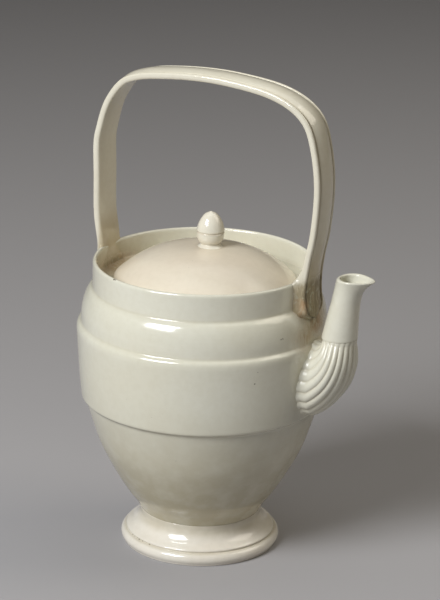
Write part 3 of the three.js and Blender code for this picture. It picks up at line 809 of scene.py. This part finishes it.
# The foot, with its cove, flange, groove and rounded ring
def make_foot():
    ring_centre = FOOT_RADIUS - FOOT_RING_ROUND
    face = ring_centre + 0.64 * FOOT_RING_ROUND
    groove = 2 * FOOT_RING_ROUND
    cove_height = FOOT_HEIGHT - groove
    cove_run = ring_centre + 0.9 * MM - WAIST_RADIUS
    top = FOOT_HEIGHT + 0.2 * MM
    hollow = FOOT_HEIGHT - FOOT_WALL
    ring_round = FOOT_RING_ROUND
    profile = [(face - FOOT_RING_WIDTH, 0), (face, 0)]
    profile += arc(ring_centre, ring_round, ring_round, start=-45, stop=FOOT_RING_TURN, count=24)
    profile += [(WAIST_RADIUS + cove_run - 0.6 * MM, groove - 0.1 * MM)]
    profile += uniform_spline([
        (WAIST_RADIUS + cove_run, groove + 0.7 * MM),
        (WAIST_RADIUS + 0.93 * cove_run, groove + 0.12 * cove_height),
        (WAIST_RADIUS + 0.5 * cove_run, groove + 0.27 * cove_height),
        (WAIST_RADIUS + 0.19 * cove_run, groove + 0.47 * cove_height),
        (WAIST_RADIUS - 0.1 * MM, groove + 0.74 * cove_height),
        (WAIST_RADIUS - 0.05 * MM, top),
    ], count=70)
    profile += [(0, top)]
    under = [(0, hollow)]
    under += uniform_spline([
        (WAIST_RADIUS - 2.4 * FOOT_WALL, hollow),
        (WAIST_RADIUS - 1.1 * FOOT_WALL, 0.74 * hollow),
        (WAIST_RADIUS - 0.2 * FOOT_WALL, 0.36 * hollow),
        (face - FOOT_RING_WIDTH, 0),
    ], count=40)
    skin = np.vstack([soften(profile, 0.4 * MM, passes=1), soften(under, 0.8 * MM, passes=1)[:-1]])
    skin[:, 1] = np.maximum(skin[:, 1], 0)
    vertices, faces = revolve(skin, POT_SIDES)
    last = len(vertices) - POT_SIDES
    for i in range(POT_SIDES):
        j = (i + 1) % POT_SIDES
        faces.append((last + i, last + j, j, i))
    # The foot stands flat, so the wobble only grows in from 2 to 14 mm up
    wavy = hand_made(vertices, POT_WOBBLE, scale=60 * MM, seed=1)
    share = np.clip((vertices[:, 2:] - 2 * MM) / (12 * MM), 0, 1)
    vertices = vertices + (wavy - vertices) * share
    foot = outward(add_mesh("foot_glazed", vertices, faces, foot_glaze))

    # Painted shade in the groove and on the cove's upper part, under the belly
    def pool_and_shade(place):
        return max(0.5 * bell(place.z, groove, 0.7 * MM), 0.52 * smooth_share(place.z, 13 * MM, 19 * MM))

    tint(foot, pool_and_shade=pool_and_shade)
    put(foot, "kettle", "cream_glaze", "foot")


# The lid, its dome with an edge and a flange
def dome(radius, base, rise, count):
    shares = [math.sin(math.pi / 2 * (1 - i / count)) for i in range(count + 1)]
    return [(radius * share, base + rise * (1 - share**LID_FULLNESS)) for share in shares]


def make_lid():
    edge = 0.6 * MM
    dome_radius = lid_radius - edge
    flange_outer = MOUTH_RADIUS - LID_FLANGE_CLEARANCE
    flange_inner = flange_outer - LID_FLANGE_WALL
    flange_foot = lid_seat - LID_FLANGE_DEPTH
    over_flange = lid_shoulder + LID_RISE * (1 - (flange_inner / dome_radius) ** LID_FULLNESS)
    under_base = over_flange - 1.4 * LID_THICKNESS
    profile = dome(flange_inner, under_base, lid_top - LID_THICKNESS - under_base, count=60)[::-1]
    profile += [
        (flange_inner, flange_foot),
        (flange_outer, flange_foot),
        (flange_outer, lid_seat),
        (lid_radius - edge, lid_seat),
        (lid_radius, lid_seat + edge),
        (lid_radius, lid_shoulder - edge),
    ]
    profile += dome(dome_radius, lid_shoulder, LID_RISE, count=90)
    skin = soften(profile, step=0.6 * MM, passes=2)
    skin[0, 0] = skin[-1, 0] = 0
    vertices, faces = revolve(skin, LID_SIDES)
    vertices = hand_made(vertices, LID_WOBBLE, scale=45 * MM, seed=4)
    lid = outward(add_mesh("lid_glazed", vertices, faces, lid_glaze))

    # Painted shade in a ring round the knob's foot, where glaze also pools
    def pool_and_shade(place):
        return 0.25 * bell((place - knob_place).xy.length, KNOB_STEM_RADIUS + 2.6 * MM, 1 * MM)

    tint(lid, pool_and_shade=pool_and_shade)
    put(lid, "lid", "lid_glaze", "lid")


# The bud knob in its cup, a little off the middle, with a small fillet of glaze at its foot
def make_knob():
    bud_foot = lid_top + LUTE + KNOB_CUP_HEIGHT
    bud = KNOB_HEIGHT - KNOB_CUP_HEIGHT
    profile = [(0, lid_top - 0.8 * MM), (KNOB_STEM_RADIUS + 2.2 * MM, lid_top - 0.4 * MM)]
    profile += uniform_spline([
        (KNOB_STEM_RADIUS + 1 * MM, lid_top + 0.5 * MM),
        (KNOB_STEM_RADIUS, lid_top + 0.17 * KNOB_CUP_HEIGHT),
        (0.85 * KNOB_RADIUS, lid_top + 0.36 * KNOB_CUP_HEIGHT),
        (0.96 * KNOB_RADIUS, lid_top + 0.64 * KNOB_CUP_HEIGHT),
        (KNOB_RADIUS, bud_foot - 0.6 * MM),
    ], count=30)
    profile += [(KNOB_RADIUS - 0.15 * MM, bud_foot - 0.1 * MM)]
    profile += [(KNOB_RADIUS - 0.6 * MM, bud_foot + 0.15 * MM)]
    profile += uniform_spline([
        (KNOB_RADIUS - 0.3 * MM, bud_foot + 0.6 * MM),
        (KNOB_RADIUS, bud_foot + 0.12 * bud),
        (0.83 * KNOB_RADIUS, bud_foot + 0.5 * bud),
        (0.47 * KNOB_RADIUS, bud_foot + 0.85 * bud),
        (0, bud_foot + bud),
    ], count=70)
    skin = soften(profile, step=0.25 * MM, passes=1)
    skin[0, 0] = skin[-1, 0] = 0
    vertices, faces = revolve(skin, KNOB_SIDES)
    vertices += np.array([knob_place.x - AXIS_X, knob_place.y, 0])
    vertices = hand_made(vertices, KNOB_WOBBLE, scale=14 * MM, seed=7)
    knob = outward(add_mesh("knob_glazed", vertices, faces, knob_glaze))

    # Painted shade in the seam under the bud and at the knob's foot, where glaze also pools
    def pool_and_shade(place):
        return max(0.5 * bell(place.z, bud_foot, 0.5 * MM), 0.25 * bell(place.z, lid_top + 2.2 * MM, 1 * MM))

    tint(knob, pool_and_shade=pool_and_shade)
    put(knob, "lid", "lid_glaze", "lid_knob")


# The strap handle, its crowned face between two beads, with lobes that lap down the collar
leg_foot = RIM_HEIGHT - HANDLE_LOBE_DROP


def strap_section(width, thickness):
    """The strap's outline, across and outwards, for one ring."""
    half = width / 2
    centre = half - HANDLE_BEAD
    groove = half - 2.3 * HANDLE_BEAD

    def face(share):
        return groove * share, HANDLE_CROWNING * (1 - share**2) - 0.4 * HANDLE_GROOVE * share**2

    side = uniform_spline([
        (half - 1.5 * HANDLE_BEAD, -thickness),
        (half - 0.5 * HANDLE_BEAD, -thickness + 0.35 * HANDLE_BEAD),
        (half - 0.05 * HANDLE_BEAD, -thickness + 1.3 * HANDLE_BEAD),
        (half, -1.2 * HANDLE_BEAD),
    ], count=8)
    bead = arc(centre, -HANDLE_BEAD, HANDLE_BEAD, start=0, stop=155, count=9)
    valley = uniform_spline([
        (groove + 0.45 * HANDLE_BEAD, -0.93 * HANDLE_GROOVE),
        (groove, -HANDLE_GROOVE),
        face(0.93),
        face(0.84),
    ], count=8)
    right = side + bead + valley + [face(share) for share in np.linspace(0.75, 0, 9)]
    left = [(-across, outwards) for across, outwards in right[-2::-1]]
    return right + left + [(0, -thickness - 0.05 * MM)]


def handle_line():
    """The strap's line, reach and height, from its left foot over the crown to its right foot."""
    left_out = -(RIM_RADIUS + HANDLE_LEFT_PROUD)
    right_out = RIM_RADIUS + HANDLE_RIGHT_PROUD
    stations = [
        (-(SHOULDER_RADIUS + 0.4 * MM), leg_foot),
        (left_out - 2 * MM, RIM_HEIGHT - 10 * MM),
        (left_out, RIM_HEIGHT - 1 * MM),
        (-HANDLE_LEFT_REACH + 0.6 * MM, RIM_HEIGHT + 0.17 * HANDLE_RISE),
        (-HANDLE_LEFT_REACH + 0.3 * MM, RIM_HEIGHT + 0.38 * HANDLE_RISE),
        (-HANDLE_LEFT_REACH, RIM_HEIGHT + 0.57 * HANDLE_RISE),
        (-HANDLE_LEFT_REACH + 1.6 * MM, RIM_HEIGHT + 0.64 * HANDLE_RISE),
        (-HANDLE_LEFT_REACH + 7.7 * MM, HANDLE_CROWN - 24.4 * MM),
        (-HANDLE_LEFT_REACH + 19.1 * MM, HANDLE_CROWN - 9.7 * MM),
        (-HANDLE_LEFT_REACH + 30.4 * MM, HANDLE_CROWN - 4.7 * MM),
        (-HANDLE_LEFT_REACH + 46.8 * MM, HANDLE_CROWN - 1.8 * MM),
        (-5 * MM, HANDLE_CROWN),
        (16 * MM, HANDLE_CROWN - 0.3 * MM),
        (HANDLE_RIGHT_REACH - 36.1 * MM, HANDLE_CROWN - 3.7 * MM),
        (HANDLE_RIGHT_REACH - 21.4 * MM, HANDLE_CROWN - 9.1 * MM),
        (HANDLE_RIGHT_REACH - 12.8 * MM, HANDLE_CROWN - 15.3 * MM),
        (HANDLE_RIGHT_REACH - 7.5 * MM, HANDLE_CROWN - 22.5 * MM),
        (HANDLE_RIGHT_REACH - 3.3 * MM, HANDLE_CROWN - 35.7 * MM),
        (HANDLE_RIGHT_REACH, RIM_HEIGHT + 0.5 * HANDLE_RISE),
        (HANDLE_RIGHT_REACH - 1.9 * MM, RIM_HEIGHT + 0.255 * HANDLE_RISE),
        (HANDLE_RIGHT_REACH - 5.2 * MM, RIM_HEIGHT + 0.114 * HANDLE_RISE),
        (right_out, RIM_HEIGHT - 1 * MM),
        (right_out, RIM_HEIGHT - 10 * MM),
        (SHOULDER_RADIUS + 0.8 * MM, leg_foot),
    ]
    return centripetal_spline(stations, per_span=20)


def strap_ring(x, z, tangent_x, tangent_z):
    """One ring of the strap, which near the feet widens, swells, stays out of the mouth and has a fillet."""
    right = x > 0
    flare = 1 - smooth_share(z, RIM_HEIGHT - HANDLE_FOOT_FILLET, RIM_HEIGHT + HANDLE_FOOT_FILLET)
    from_end = min(1.0, max(0.02, (z - leg_foot) / HANDLE_LOBE_ROUND))
    rounded = math.sqrt(1 - (1 - from_end) ** 2)
    widening = (HANDLE_LOBE_WIDTH - HANDLE_WIDTH) * flare * (1 if right else LEFT_LOBE_WIDENING)
    width = rounded * (HANDLE_WIDTH + widening)
    swell_top = RIM_HEIGHT + (HANDLE_FOOT_FILLET if right else 0)
    swell = 1 - smooth_share(z, swell_top - 2 * HANDLE_FOOT_FILLET, swell_top)
    thickness = HANDLE_THICKNESS + HANDLE_FOOT_SWELL * swell
    fillet = RIGHT_FOOT_FILLET if right else LEFT_FOOT_FILLET
    collar = inner_rim + 0.05 * MM
    if not right and z > gallery_height:
        collar -= 0.35 * MM
    ring = []
    for across, outwards in strap_section(max(width, 4.8 * HANDLE_BEAD), thickness):
        outwards -= LOBE_EDGE_SINK * (1 - rounded)
        p = np.array([AXIS_X + x - tangent_z * outwards, -across, z + tangent_x * outwards])
        if z < RIM_HEIGHT + 30 * MM and math.hypot(p[0] - AXIS_X, p[1]) < collar:
            reach = math.sqrt(max(0.0, collar**2 - p[1] ** 2))
            p[0] = AXIS_X + math.copysign(reach, x)
        near = over_pot(p)
        if near < fillet and abs(across) > 0.3 * width:
            p[1] += math.copysign(filleted(near, fillet, 0.8), p[1])
        ring.append(p)
    return np.array(ring)


def make_handle():
    points, tangents = resample(handle_line(), 520)
    vertices, faces = bridge([strap_ring(*point, *tangent) for point, tangent in zip(points, tangents)])
    vertices = hand_made(vertices, HANDLE_WOBBLE, scale=35 * MM, seed=11)
    handle = outward(add_mesh("handle_glazed", vertices, faces, strap_glaze))
    tint(handle, strap_stain_and_shade, strap_pool_and_shade)
    put(handle, "kettle", "cream_glaze", "handle")


# The spout's neck, a plain tube drawn forward into a beak
def neck_ring(share, shrink):
    """A ring at a share of the neck's height, drawn in from its outside by some amount."""
    narrowed = min(1.0, max(0.0, share) / NECK_WAIST_SHARE)
    body = NECK_FOOT_RADIUS + (NECK_WAIST_RADIUS - NECK_FOOT_RADIUS) * narrowed
    flare = max(0.0, (share - NECK_FLARE_SHARE) / (1 - NECK_FLARE_SHARE)) ** 2
    radius = body + (NECK_MOUTH_RADIUS - NECK_WAIST_RADIUS) * flare - shrink
    lean = NECK_LEAN * (share * 2 / 3 + share**4 / 3)
    ring = []
    for a in np.linspace(0, 2 * math.pi, NECK_SIDES, endpoint=False):
        reach = radius * math.cos(a) + BEAK * max(0.0, math.cos(a)) ** BEAK_SHARPNESS * flare
        side = radius * math.sin(a) * (1 + NECK_MOUTH_SPREAD * flare)
        ring.append((AXIS_X + NECK_REACH + lean + reach, side, NECK_FOOT_HEIGHT + NECK_HEIGHT * share))
    return np.array(ring)


def make_neck():
    lip_foot = 0.972
    lip_rise = 0.026
    below_flare = np.linspace(0, 0.98 * NECK_FLARE_SHARE, 24)
    up = [*below_flare, *np.linspace(NECK_FLARE_SHARE, lip_foot, 22)]
    # A small rounded edge at the foot, then up the outside, over the lip and down the inside
    edge = ((0.012, 0.5 * MM), (0.0, 0.25 * MM), (0.002, 0.06 * MM), (0.008, 0))
    rings = [neck_ring(share, shrink) for share, shrink in edge]
    rings += [neck_ring(share, 0) for share in up[1:]]
    for turn in np.linspace(0, math.pi, 11)[1:-1]:
        shrink = SPOUT_WALL * (1 - math.cos(turn)) / 2
        rings.append(neck_ring(lip_foot + lip_rise * math.sin(turn), shrink))
    rings += [neck_ring(share, SPOUT_WALL) for share in up[::-1]]
    vertices, faces = bridge(rings, closed=True)
    vertices = hand_made(vertices, SPOUT_WOBBLE, scale=20 * MM, seed=15)
    neck = outward(add_mesh("spout_neck_glazed", vertices, faces, neck_glaze))

    # Painted shadow along the seam at the neck's foot, on the side away from the hinge
    def pool_and_shade(place):
        from_hinge = place.x - AXIS_X - hinge_reach
        return 0.5 * bell(place.z, NECK_FOOT_HEIGHT, 0.7 * MM) * smooth_share(from_hinge, 6 * MM, 18 * MM)

    tint(neck, pool_and_shade=pool_and_shade)
    put(neck, "kettle", "cream_glaze", "spout_neck")


# The fluted shell, swung from under the neck down on to the wall
def between_flutes(angle):
    """Zero on the back of a flute and one in the valley between two."""
    return 1 - abs(math.cos(FLUTES * angle / 2)) ** 0.8


def shell_ring(swing, shrink, flute_depth):
    """A ring at a swing in degrees, drawn in from its outside by some amount."""
    opened = swing / 90
    top = NECK_FOOT_RADIUS - SHELL_SET_BACK
    near = SHELL_HINGE + SHELL_BACK_DROP * opened
    far = SHELL_HINGE + 2 * top + (SHELL_DROP - SHELL_HINGE - 2 * top) * opened**SHELL_DROOP
    middle = (near + far) / 2
    depth = (far - near) / 2 - shrink
    width = top + (SHELL_HALF_WIDTH - top) * math.sin(opened * math.pi / 2) - shrink
    tilt = math.radians(swing)
    growth = FLUTE_START + (1 - FLUTE_START) * smooth_share(opened, 0.02, 0.3)
    ring = []
    for a in np.linspace(0, 2 * math.pi, SHELL_SIDES, endpoint=False):
        towards_pot = 0.5 - 0.5 * math.cos(a)
        cut = flute_depth * growth * (1 - FLUTE_FADE * towards_pot**2) * between_flutes(a)
        radial = middle + (depth - cut) * math.cos(a)
        side = (width - cut) * math.sin(a) * (1 + SHELL_LOW_SPREAD * opened * math.cos(a))
        reach = AXIS_X + hinge_reach + radial * math.cos(tilt)
        ring.append((reach, side, hinge_height - radial * math.sin(tilt)))
    return np.array(ring)


def spread_on_pot(ring):
    """The same ring, with the points that come near the pot moved out into a fillet."""
    centre = ring.mean(axis=0)
    moved = ring.copy()
    for k, p in enumerate(ring):
        near = over_pot(p)
        if near < SHELL_FILLET:
            out = p - centre
            out[0] = 0
            out /= max(TINY, np.linalg.norm(out))
            moved[k] = p + out * filleted(near, SHELL_FILLET, 0.6)
    return moved


def make_shell():
    up_into_neck = np.array([0, 0, NECK_SEAM_OVERLAP])
    runs_in = np.linspace(0, SHELL_RUN_IN, 13)[1:]
    skin = []
    for swing in np.linspace(-1, 90, 66)[1:]:
        widened = NECK_SEAM_OVERLAP * (1 - smooth_share(swing, 0, 7))
        depth = FLUTE_DEPTH * (0.4 + 0.6 * smooth_share(swing, 0, 8))
        skin.append(shell_ring(swing, -widened, depth))
    skin.insert(0, shell_ring(0, -NECK_SEAM_OVERLAP, 0.4 * FLUTE_DEPTH) + up_into_neck)
    skin += [skin[-1] - np.array([run, 0, 0]) for run in runs_in]
    skin = [spread_on_pot(ring) for ring in skin]
    inner = [shell_ring(swing, SPOUT_WALL, 0.0) for swing in np.linspace(90, 0, 40)]
    inner.insert(0, inner[0] - np.array([SHELL_RUN_IN, 0, 0]))
    inner.append(inner[-1] + up_into_neck)
    vertices, faces = bridge([*skin, *inner], closed=True)
    vertices = hand_made(vertices, SPOUT_WOBBLE, scale=16 * MM, seed=19)
    shell = outward(add_mesh("spout_shell_glazed", vertices, faces, spout_glaze))
    tint(shell)
    # Painted shade in the valleys between the flutes
    pool_and_shade = shell.data.attributes["pool_and_shade"].data
    for i in range(len(skin) * SHELL_SIDES):
        pool_and_shade[i].value = 0.55 * between_flutes(2 * math.pi * i / SHELL_SIDES) ** 2
    put(shell, "kettle", "cream_glaze", "spout_shell")


make_pot()
make_foot()
make_lid()
make_knob()
make_handle()
make_neck()
make_shell()


# Floor and studio light
FLOOR_HALF_WIDTH = 6.0
FLOOR_TONE = (0.38, 0.37, 0.375, 1)
SURROUND_TONE = (0.98, 0.9, 0.8, 1)
SURROUND_STRENGTH = 0.02
LIGHT_TARGET = Vector((AXIS_X, 0, 140 * MM))


def make_floor():
    material = bpy.data.materials.new("studio_floor")
    material.use_nodes = True
    shader = material.node_tree.nodes["Principled BSDF"]
    shader.inputs["Base Color"].default_value = FLOOR_TONE
    shader.inputs["Roughness"].default_value = 0.85
    corners = ((-1, -1), (1, -1), (1, 1), (-1, 1))
    vertices = [(x * FLOOR_HALF_WIDTH, y * FLOOR_HALF_WIDTH, 0) for x, y in corners]
    add_mesh("floor", vertices, [(0, 1, 2, 3)], material)


def area_light(name, place, size, power, colour):
    light = bpy.data.lights.new(name, "AREA")
    light.shape = "RECTANGLE"
    light.size, light.size_y = size
    light.energy = power
    light.color = colour
    obj = bpy.data.objects.new(name, light)
    bpy.context.scene.collection.objects.link(obj)
    obj.location = place
    obj.rotation_euler = (LIGHT_TARGET - Vector(place)).to_track_quat("-Z", "Y").to_euler()


# The camera: where the photograph was taken from, worked out from the circles of rim, band and foot
CAMERA_DISTANCE = 1.600
CAMERA_HEIGHT = 0.703
CAMERA_SWING = math.radians(28)
CAMERA_PITCH = math.radians(18.748)
CAMERA_ROLL = math.radians(1.286)
CAMERA_YAW = math.radians(0.347)
FOCAL_PIXELS = 2704.1
FRAME_HEIGHT_PIXELS = 600
SENSOR = 36


def make_camera():
    """Adds the camera, and gives the turn about the upright from its side to the part's frame."""
    data = bpy.data.cameras.new("camera")
    data.sensor_width = SENSOR
    data.lens = FOCAL_PIXELS * SENSOR / FRAME_HEIGHT_PIXELS
    data.clip_end = 30
    camera = bpy.data.objects.new("camera", data)
    bpy.context.scene.collection.objects.link(camera)
    sin_yaw, cos_yaw = math.sin(CAMERA_YAW), math.cos(CAMERA_YAW)
    sin_pitch, cos_pitch = math.sin(CAMERA_PITCH), math.cos(CAMERA_PITCH)
    right = Vector((cos_yaw, -sin_yaw, 0))
    forward = Vector((sin_yaw * cos_pitch, cos_yaw * cos_pitch, -sin_pitch))
    up = Vector((sin_yaw * sin_pitch, cos_yaw * sin_pitch, cos_pitch))
    rolled_right = math.cos(CAMERA_ROLL) * right + math.sin(CAMERA_ROLL) * up
    rolled_up = math.cos(CAMERA_ROLL) * up - math.sin(CAMERA_ROLL) * right
    turn = Matrix.Rotation(CAMERA_SWING, 3, "Z")
    axes = [turn @ v for v in (rolled_right, rolled_up, -forward)]
    place = turn @ Vector((0, -CAMERA_DISTANCE, CAMERA_HEIGHT)) + Vector((AXIS_X, 0, 0))
    rows = [[*(axis[r] for axis in axes), place[r]] for r in range(3)]
    camera.matrix_world = Matrix([*rows, [0, 0, 0, 1]])
    bpy.context.scene.camera = camera
    return turn


def make_light(turn):
    """A soft box high on the left, a faint light overhead, a warm fill on the right and a dim surround."""

    def at(across, away, height):
        p = turn @ Vector((across, away, 0))
        return (AXIS_X + p.x, p.y, height)

    area_light("key_softbox", at(-0.9, -0.92, 1.12), size=(0.75, 0.65), power=27.5, colour=(0.985, 1, 1.02))
    area_light("top_fill", at(0.1, 0.35, 1.7), size=(1.6, 1.4), power=6, colour=(1, 0.99, 0.96))
    area_light("right_fill", at(1.4, 0.15, 1.5), size=(1.2, 1.1), power=10, colour=(1, 0.92, 0.78))
    world = bpy.data.worlds.new("surround")
    world.use_nodes = True
    background = world.node_tree.nodes["Background"]
    background.inputs["Color"].default_value = SURROUND_TONE
    background.inputs["Strength"].default_value = SURROUND_STRENGTH
    bpy.context.scene.world = world


make_floor()
make_light(make_camera())
bpy.context.scene.view_settings.view_transform = "Standard"
